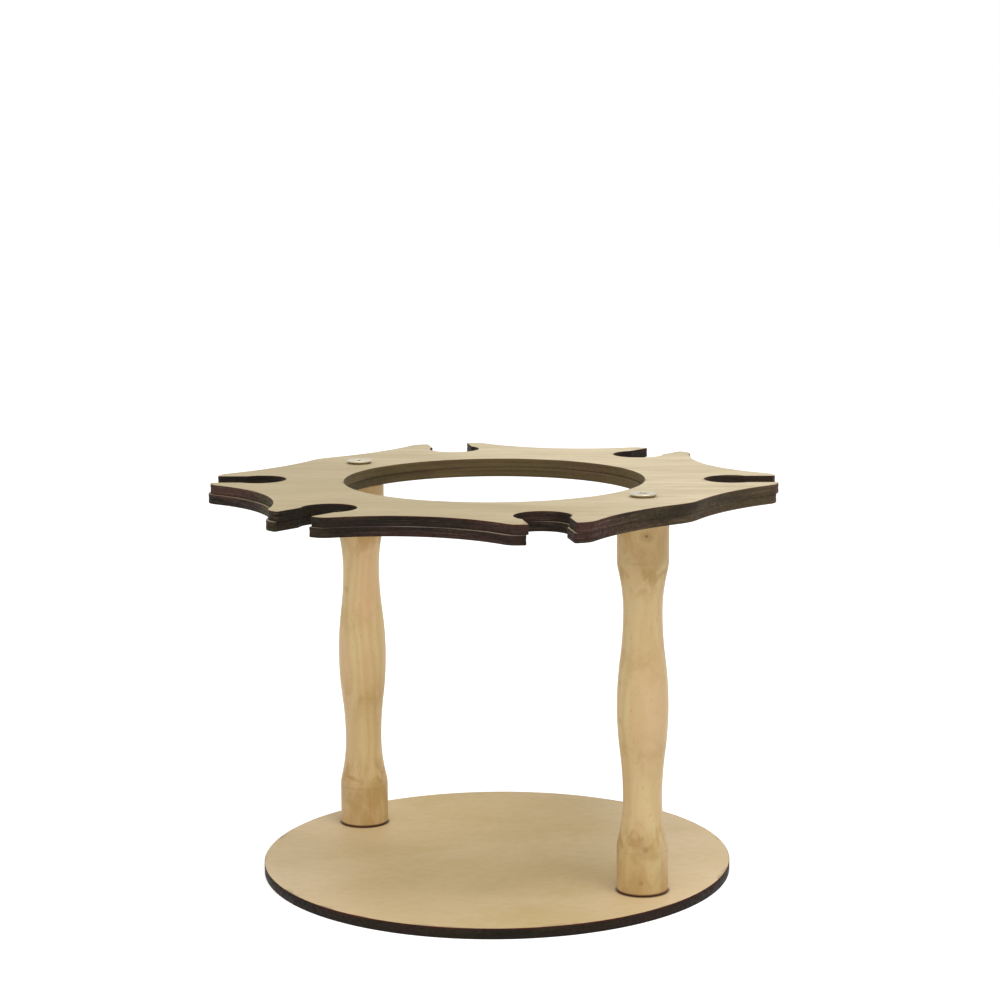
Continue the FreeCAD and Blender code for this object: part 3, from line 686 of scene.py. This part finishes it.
def fill_face(loops, inner, level, upward):
    """Cover a face that its loops bound with triangles through the inner points."""
    places, edges = [], []
    for loop in loops:
        first = len(places)
        places += [place / MM for place in loop]
        edges += [(first + number, first + (number + 1) % len(loop)) for number in range(len(loop))]
    places += [place / MM for place in inner]
    flat, sides, triangles, _, sources, _ = delaunay_2d_cdt(places, edges, [], 0, 1e-5, True)
    lines = {frozenset(side) for side, source in zip(sides, sources) if source}
    points = [Vector((place.x * MM, place.y * MM, level)) for place in flat]
    order = 1 if upward else -1
    faces = [tuple(corners[::order]) for corners in wood_triangles(triangles, lines)]
    return points, faces


def slot_shade_share(walls, place, normal, level):
    """Return 1 where another wall stands close in front of a wall, as in a slot, and 0 where none does: the
    share of painted shade.
    """
    ahead = Vector((normal.x, normal.y, 0))
    if ahead.length < 0.5:
        return 0.0
    ahead.normalize()
    start = Vector((place.x, place.y, level)) + ahead * MM
    gap = walls.ray_cast(start, ahead, SLOT_REACH)[3]
    return 0.0 if gap is None else min(1.0, (SLOT_REACH - gap) / SLOT_FADE)


def cut_sheet(name, node_name, look, materials, slot, plies, seed):
    """Rebuild a cut sheet with burnt walls, rubbed corners and points that know how far the cut is."""
    low, high = (corner.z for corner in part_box(node_name))
    rough = bmesh.new()
    rough.from_mesh(NODES[node_name].data)
    bmesh.ops.remove_doubles(rough, verts=rough.verts, dist=MERGE_GAP)
    caps = [face for face in rough.faces if abs(face.normal.z) > LEVEL_NORMAL
            and min(abs(face.calc_center_median().z - level) for level in (low, high)) < MERGE_GAP]
    bmesh.ops.delete(rough, geom=caps, context="FACES_KEEP_BOUNDARY")
    screw_places = [sum(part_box(node), Vector()).to_2d() / 2 for node in ("right_top_screw", "left_top_screw")]
    hole_reach = (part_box("right_top_screw")[1].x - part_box("right_top_screw")[0].x) * HOLE_SHARE

    def near_screw(place):
        return min((place - centre).length for centre in screw_places) < hole_reach

    cuts, drilled = [], {low: [], high: []}
    for level in (low, high):
        for loop in open_loops(rough, level):
            if near_screw(loop[0]):
                drilled[level].append(loop)
            elif level == high:
                cuts.append(loop)
    widest = max(cuts, key=lambda loop: abs(loop_area(loop)))
    lines = []
    for loop in cuts:
        wood_on_left = (loop_area(loop) > 0) == (loop is widest)
        lines.append(refine_loop(loop if wood_on_left else loop[::-1], look.cut_spacing))

    points, faces, kinds = [], [], []

    def add(new_points, new_faces, kind):
        first = len(points)
        points.extend(new_points)
        faces.extend(tuple(first + number for number in face) for face in new_faces)
        kinds.extend([kind] * len(new_faces))

    rows = wall_rows(look, low, high, plies)
    edge_lines = {low: [], high: []}
    for line in lines:
        wall_points, wall_faces = cut_wall(look, line, rows, seed)
        add(wall_points, wall_faces, 1)
        edge_lines[low].append([point.to_2d() for point in wall_points[:len(line)]])
        edge_lines[high].append([point.to_2d() for point in wall_points[-len(line):]])
    for level, upward in ((low, False), (high, True)):
        flat_walls = [point.to_2d().to_3d() + Vector((0, 0, side)) for loop in edge_lines[level]
                      for side in (-MM, MM) for point in loop]
        flat_faces, first = [], 0
        for loop in edge_lines[level]:
            flat_faces += strip_between(first, first + len(loop), len(loop))
            first += 2 * len(loop)
        wall = BVHTree.FromPolygons(flat_walls, flat_faces)
        clear_of = []
        for loop in drilled[level]:
            centre = sum(loop, Vector((0, 0))) / len(loop)
            clear_of.append((centre, (loop[0] - centre).length))
        inner = face_net(look, edge_lines[level], wall, clear_of)
        add(*fill_face(edge_lines[level] + drilled[level], inner, level, upward), 0)
    rough.verts.index_update()
    bores = [face for face in rough.faces if near_screw(face.calc_center_median().to_2d())]
    add([vertex.co.copy() for vertex in rough.verts],
        [tuple(vertex.index for vertex in face.verts) for face in bores], 0)
    rough.free()

    mesh = bpy.data.meshes.new(name)
    mesh.from_pydata(points, [], faces)
    mesh.polygons.foreach_set("material_index", kinds)
    tidy = bmesh.new()
    tidy.from_mesh(mesh)
    bmesh.ops.delete(tidy, geom=[vertex for vertex in tidy.verts if not vertex.link_faces], context="VERTS")
    bmesh.ops.remove_doubles(tidy, verts=tidy.verts, dist=MERGE_GAP)
    tidy.to_mesh(mesh)
    tidy.free()
    walls = BVHTree.FromPolygons(
        [vertex.co for vertex in mesh.vertices],
        [tuple(face.vertices) for face in mesh.polygons if face.material_index == 1])
    set_values(mesh, "cut_distance", [walls.find_nearest(vertex.co)[3] / MM for vertex in mesh.vertices])
    middle = (low + high) / 2
    set_values(mesh, "slot_shade", [
        slot_shade_share(walls, vertex.co, vertex.normal, middle) for vertex in mesh.vertices])
    mesh.shade_smooth()
    mesh.set_sharp_from_angle(angle=SHEET_CREASE)
    return link_piece(name, mesh, materials, slot, node_name)


def lathe_rings(points, faces, rings, sides):
    """Add rings of points, each with a radius and a height, and the faces between them."""
    for radius, height in rings:
        first = len(points)
        for side in range(sides):
            turn = 2 * math.pi * side / sides
            points.append((radius * math.cos(turn), radius * math.sin(turn), height))
        if first:
            for side in range(sides):
                after = (side + 1) % sides
                faces.append((first - sides + side, first + side, first + after, first - sides + after))


def thread_rows(points, faces, look, top, bottom):
    """Add the thread as a strip of points that winds down the shank and runs out at both ends."""
    sides = look.sides
    neck, core, crest, tip = (size / 2 for size in (
        look.neck_diameter, look.core_diameter, look.thread_diameter, look.tip_diameter))
    turns = math.ceil((top - bottom) / look.thread_pitch) + 1
    rows = [(turn + share, crest if on_crest else core)
            for turn in range(-1, turns) for share, on_crest in TOOTH]
    first = len(points)
    for drop, radius in rows:
        for side in range(sides):
            height = top - (drop + side / sides) * look.thread_pitch
            held = min(max(height, bottom), top)
            start = min(1.0, (top - held) / look.thread_pitch)
            end = min(1.0, (held - bottom) / look.point_length)
            reach = neck + (radius - neck) * start
            reach = tip + (reach - tip) * end
            turn = 2 * math.pi * side / sides
            points.append((reach * math.cos(turn), reach * math.sin(turn), held))
    last = len(rows) - 1
    for row in range(last):
        for side in range(sides):
            wraps = side == sides - 1
            shift = len(TOOTH) if wraps else 0
            after = 0 if wraps else side + 1
            here = first + row * sides + side
            below = first + (row + 1) * sides + side
            beside = first + min(row + shift, last) * sides + after
            across = first + min(row + 1 + shift, last) * sides + after
            corners = tuple(dict.fromkeys((here, below, across, beside)))
            if len(corners) > 2:
                faces.append(corners)


def link_shape(name, shape):
    """Turn a closed bmesh into an object in the scene, with its faces outwards."""
    bmesh.ops.recalc_face_normals(shape, faces=shape.faces)
    mesh = bpy.data.meshes.new(name)
    shape.to_mesh(mesh)
    shape.free()
    return add_object(name, mesh)


def make_screw(look, head_radius):
    """Make one screw whose head's face is at the origin: flat head, plain neck, thread and blunt tip."""
    sides = look.sides
    neck = look.neck_diameter / 2
    cone_end = -look.rim_height - (head_radius - neck)
    thread_top = cone_end - look.neck_length
    blunt = look.tip_diameter / 4
    corner = look.rim_round
    points, faces = [], []
    rings = [(head_radius * share, 0.0) for share in FACE_RINGS]
    for step in range(CORNER_STEPS + 1):
        turn = step / CORNER_STEPS * math.pi / 2
        rings.append((head_radius - corner * (1 - math.sin(turn)), corner * (math.cos(turn) - 1)))
    rings += [(head_radius, -look.rim_height), (neck, cone_end), (neck, thread_top)]
    lathe_rings(points, faces, rings, sides)
    thread_rows(points, faces, look, thread_top, -look.length + blunt)
    end, end_faces = [], []
    lathe_rings(end, end_faces, [(look.tip_diameter / 2, -look.length + blunt),
                                 (look.tip_diameter / 3, -look.length + blunt / 3),
                                 (look.tip_diameter / 8, -look.length)], sides)
    first = len(points)
    points += end
    faces += [tuple(first + number for number in face) for face in end_faces]
    faces += [tuple(range(sides)), tuple(reversed(range(len(points) - sides, len(points))))]
    shape = bmesh.new()
    for place in points:
        shape.verts.new(place)
    shape.verts.ensure_lookup_table()
    for face in faces:
        shape.faces.new([shape.verts[number] for number in face])
    bmesh.ops.remove_doubles(shape, verts=shape.verts, dist=MERGE_GAP)
    return link_shape("screw_pattern", shape)


def make_recess_cutter(look):
    """Make the tapered cross that the driver's tip fills."""
    arm, side = look.recess_span / 2, look.recess_width / 2
    outline = []
    for quarter in range(4):
        turn = Matrix.Rotation(quarter * math.pi / 2, 3, "Z")
        outline += [turn @ Vector(place) for place in ((arm, -side, 0), (arm, side, 0), (side, side, 0))]
    shape = bmesh.new()
    rings = []
    for share, height in RECESS_RINGS:
        rings.append([shape.verts.new((place.x * share, place.y * share, height * look.recess_depth))
                      for place in outline])
    tip = shape.verts.new((0, 0, -look.recess_depth))
    count = len(outline)
    for upper, lower in zip(rings, rings[1:]):
        for number in range(count):
            after = (number + 1) % count
            shape.faces.new((upper[number], lower[number], lower[after], upper[after]))
    for number in range(count):
        shape.faces.new((rings[-1][number], tip, rings[-1][(number + 1) % count]))
    shape.faces.new(rings[0])
    return link_shape("cross_recess", shape)


def press_recess(look, screw, cutter):
    """Cut the cross recess out of the screw's head and note how deep in it each point lies."""
    cut = screw.modifiers.new("recess", "BOOLEAN")
    cut.operation = "DIFFERENCE"
    cut.solver = "EXACT"
    cut.object = cutter
    graph = bpy.context.evaluated_depsgraph_get()
    mesh = bpy.data.meshes.new_from_object(screw.evaluated_get(graph))
    screw.modifiers.remove(cut)
    screw.data = mesh
    lowest, widest = RECESS_LIMITS
    depths = []
    for vertex in mesh.vertices:
        share = -vertex.co.z / look.recess_depth
        depths.append(share if share < lowest and vertex.co.xy.length < look.recess_span * widest else 0.0)
    set_values(mesh, "recess_depth", depths)
    mesh.shade_smooth()
    mesh.set_sharp_from_angle(angle=SCREW_CREASE)


def make_screw_tree():
    """Geometry Nodes tree that sets one screw on each post."""
    tree = bpy.data.node_groups.new("set_screws", "GeometryNodeTree")
    add = partial(add_node, tree)
    face = tree.interface
    face.new_socket("Geometry", in_out="OUTPUT", socket_type="NodeSocketGeometry")
    for name, kind in (
            ("Screw", "NodeSocketObject"), ("Reach", "NodeSocketFloat"), ("Level", "NodeSocketFloat"),
            ("Tip Over", "NodeSocketFloat"), ("Turn", "NodeSocketFloat"), ("Turn Step", "NodeSocketFloat"),
            ("Material", "NodeSocketMaterial")):
        face.new_socket(name, in_out="INPUT", socket_type=kind)
    given = tree.nodes.new("NodeGroupInput").outputs
    right = add("vector", given["Reach"], 0.0, given["Level"])
    left = add("vector", add("multiply", given["Reach"], -1.0), 0.0, given["Level"])
    line = add("two_points", 2, right, left)
    turn = add("multiply_add", add("number"), given["Turn Step"], given["Turn"])
    tilt = add("vector", given["Tip Over"], 0.0, turn)
    screws = add("copies", line, add("object", given["Screw"], True), tilt)
    plated = add("coated", add("real", screws), given["Material"])
    add("group_output", plated)
    return tree


def set_screws(name, tree, values, material, nodes):
    """Run the tree with its inputs and keep the result as one piece."""
    carrier = add_object(name + "_carrier", bpy.data.meshes.new(name + "_carrier"))
    modifier = carrier.modifiers.new("screws", "NODES")
    modifier.node_group = tree
    for item in tree.interface.items_tree:
        if item.in_out == "INPUT":
            modifier[item.identifier] = values[item.name]
    graph = bpy.context.evaluated_depsgraph_get()
    mesh = bpy.data.meshes.new_from_object(carrier.evaluated_get(graph))
    carrier.modifiers.remove(modifier)
    bpy.data.objects.remove(carrier)
    mesh.materials.clear()
    mesh.name = name
    return link_piece(name, mesh, [material], "screw_zinc", *nodes)


class CADDY_OT_base(bpy.types.Operator):
    """Cut the round base out of fibreboard"""
    bl_idname = "caddy.cut_base"
    bl_label = "Cut Base"

    def execute(self, context):
        look = context.scene.caddy_sheets
        corners = [(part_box("base_disc")[1].z, look.char_crest, look.crest_height, 1.0)]
        materials = [make_board(look), make_char(
            "laser_burnt_fibreboard", look, corners, layer=1.1, thin=0.2, ash=0.06, uneven=0.0)]
        cut_sheet("round_base", "base_disc", look, materials, "base_board", plies=1, seed=3.0)
        return {"FINISHED"}


class CADDY_OT_ring(bpy.types.Operator):
    """Cut the two sheets of the ring out of plywood"""
    bl_idname = "caddy.cut_ring"
    bl_label = "Cut Ring"

    def execute(self, context):
        look = context.scene.caddy_sheets
        # The lower sheet's pale line under its upper corner is a painted highlight; the upper sheet's reddish
        # line is a burn
        corners = [(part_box("lower_ring_sheet")[1].z, look.char_ledge_highlight, look.ledge_height, 0.6),
                   (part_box("upper_ring_sheet")[1].z, look.char_crest, look.crest_height, 0.4)]
        materials = [make_veneer(look), make_char(
            "laser_burnt_plywood", look, corners, layer=0.5, thin=1.0, ash=0.7, uneven=1.0)]
        cut_sheet("lower_ring", "lower_ring_sheet", look, materials, "ring_plywood", plies=3, seed=11.0)
        cut_sheet("upper_ring", "upper_ring_sheet", look, materials, "ring_plywood", plies=3, seed=23.0)
        return {"FINISHED"}


class CADDY_OT_posts(bpy.types.Operator):
    """Finish the two turned posts in beech"""
    bl_idname = "caddy.finish_posts"
    bl_label = "Finish Posts"

    def execute(self, context):
        look = context.scene.caddy_posts
        for side, heart_angle in HEART_ANGLES.items():
            node = side + "_post"
            specks = [([length * MM for length in spot], size * MM, strength)
                      for *spot, size, strength in SPECKS[side]]
            beech = make_beech(f"turned_beech_{side}", look, node, heart_angle, specks)
            for slot in NODES[node].material_slots:
                slot.material = beech
        return {"FINISHED"}


class CADDY_OT_screws(bpy.types.Operator):
    """Drive the four wood screws"""
    bl_idname = "caddy.drive_screws"
    bl_label = "Drive Screws"

    def execute(self, context):
        look = context.scene.caddy_screws
        zinc = make_zinc(look)
        tree = make_screw_tree()
        low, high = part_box("right_top_screw")
        screw = make_screw(look, (high.x - low.x) / 2)
        cutter = make_recess_cutter(look)
        press_recess(look, screw, cutter)
        for name, tip_over in (("top_screws", 0.0), ("base_screws", math.pi)):
            nodes = [side + "_" + name[:-1] for side in ("right", "left")]
            low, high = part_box(nodes[0])
            values = {
                "Screw": screw, "Reach": (low.x + high.x) / 2, "Level": low.z if tip_over else high.z,
                "Tip Over": tip_over, "Turn": look.turn, "Turn Step": look.turn_step, "Material": zinc}
            set_screws(name, tree, values, zinc, nodes)
        bpy.data.objects.remove(cutter)
        bpy.data.objects.remove(screw)
        return {"FINISHED"}


def seen_directly(tree):
    """Give 1 where the camera looks, also through gloss or clear things, and 0 where light only falls."""
    path = tree.nodes.new("ShaderNodeLightPath").outputs
    beyond = add_node(tree, "maximum", path["Is Glossy Ray"], path["Is Transmission Ray"])
    return add_node(tree, "maximum", path["Is Camera Ray"], beyond)


def make_floor_material(look):
    """Matt white table: it keeps soft shadows, and its lit part fades into the white round it."""
    material, tree, shader = new_material("matt_white_table")
    add = partial(add_node, tree)
    shader.inputs["Roughness"].default_value = 0.8
    dull = [share * 0.96 for share in look.floor_colour]
    colour = add("blend", grain_noise(tree, (3, 3, 3)), look.floor_colour, dull)
    tree.links.new(colour, shader.inputs["Base Color"])
    glow = add("glow", WHITE, add("multiply", seen_directly(tree), look.floor_glow))
    output = next(node for node in tree.nodes if node.type == "OUTPUT_MATERIAL")
    tree.links.new(add("both", shader.outputs["BSDF"], glow), output.inputs["Surface"])
    return material


def light_world(look):
    """Even light from all round, plain white where the camera and gloss see it."""
    world = bpy.data.worlds.new("white_studio")
    world.use_nodes = True
    tree = world.node_tree
    tree.nodes.clear()
    strength = add_node(tree, "ramp", seen_directly(tree), 0.0, 1.0, look.sky, 1.0)
    add_node(tree, "world_output", add_node(tree, "sky", WHITE, strength))
    bpy.context.scene.world = world


def add_lamp(name, place, target, power, size):
    """Hang a square lamp that points at the target."""
    lamp = bpy.data.lights.new(name, "AREA")
    lamp.energy = power
    lamp.size = size
    holder = add_object(name, lamp)
    holder.location = place
    holder.rotation_euler = (target - place).to_track_quat("-Z", "Y").to_euler()


def set_camera(look):
    """Place the camera where the photograph was taken from."""
    side = Vector((math.cos(look.azimuth), math.sin(look.azimuth), 0))
    level_ahead = Vector((-math.sin(look.azimuth), math.cos(look.azimuth), 0))
    ahead = level_ahead * math.cos(look.pitch) + Vector((0, 0, -math.sin(look.pitch)))
    above = side.cross(ahead)
    right = side * math.cos(look.roll) - above * math.sin(look.roll)
    up = side * math.sin(look.roll) + above * math.cos(look.roll)
    place = side * look.aside - level_ahead * look.distance + Vector((0, 0, look.height))
    camera = bpy.data.cameras.new("camera")
    camera.lens = look.lens
    camera.sensor_width = look.sensor
    camera.clip_start = 0.05
    holder = add_object("camera", camera)
    turn = Matrix((right, up, -ahead)).transposed().to_4x4()
    holder.matrix_world = Matrix.Translation(place) @ turn
    bpy.context.scene.camera = holder
    return side, -level_ahead


class CADDY_OT_stage(bpy.types.Operator):
    """Set the white table, the lamps and the camera"""
    bl_idname = "caddy.set_stage"
    bl_label = "Set Stage"

    def execute(self, context):
        look = context.scene.caddy_stage
        right, near = set_camera(look)
        half = look.floor_size / 2
        mesh = bpy.data.meshes.new("table")
        corners = [(-half, -half, 0), (half, -half, 0), (half, half, 0), (-half, half, 0)]
        mesh.from_pydata(corners, [], [(0, 1, 2, 3)])
        mesh.materials.append(make_floor_material(look))
        table = add_object("table", mesh)
        table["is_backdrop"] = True
        light_world(look)
        middle = sum(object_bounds(), Vector()) / 2
        for name, place, power, size in (
                ("key_lamp", look.key_place, look.key_power, look.key_size),
                ("fill_lamp", look.fill_place, look.fill_power, look.fill_size)):
            spot = middle + right * place[0] + near * place[1] + Vector((0, 0, place[2]))
            add_lamp(name, spot, middle, power, size)
        context.scene.view_settings.view_transform = "Standard"
        return {"FINISHED"}


class CADDY_PT_panel(bpy.types.Panel):
    """Lists the caddy's pieces and their sizes"""
    bl_idname = "CADDY_PT_panel"
    bl_label = "Caddy"
    bl_space_type = "VIEW_3D"
    bl_region_type = "UI"
    bl_category = "Caddy"

    def draw(self, context):
        scene = context.scene
        for group, operators in (
                (scene.caddy_sheets, (CADDY_OT_base, CADDY_OT_ring)),
                (scene.caddy_posts, (CADDY_OT_posts,)),
                (scene.caddy_screws, (CADDY_OT_screws,)),
                (scene.caddy_stage, (CADDY_OT_stage,))):
            box = self.layout.box()
            for operator in operators:
                box.operator(operator.bl_idname)
            for name in group.__annotations__:
                box.prop(group, name)


GROUPS = {
    "caddy_sheets": CADDY_PG_sheets,
    "caddy_posts": CADDY_PG_posts,
    "caddy_screws": CADDY_PG_screws,
    "caddy_stage": CADDY_PG_stage,
}
CLASSES = (*GROUPS.values(), CADDY_OT_base, CADDY_OT_ring, CADDY_OT_posts, CADDY_OT_screws, CADDY_OT_stage,
           CADDY_PT_panel)


def register():
    for item in CLASSES:
        bpy.utils.register_class(item)
    for name, group in GROUPS.items():
        setattr(bpy.types.Scene, name, PointerProperty(type=group))


def unregister():
    for name in GROUPS:
        delattr(bpy.types.Scene, name)
    for item in reversed(CLASSES):
        bpy.utils.unregister_class(item)


def main():
    register()
    bpy.ops.caddy.cut_base()
    bpy.ops.caddy.cut_ring()
    bpy.ops.caddy.finish_posts()
    bpy.ops.caddy.drive_screws()
    bpy.ops.caddy.set_stage()


if __name__ == "__main__":
    main()
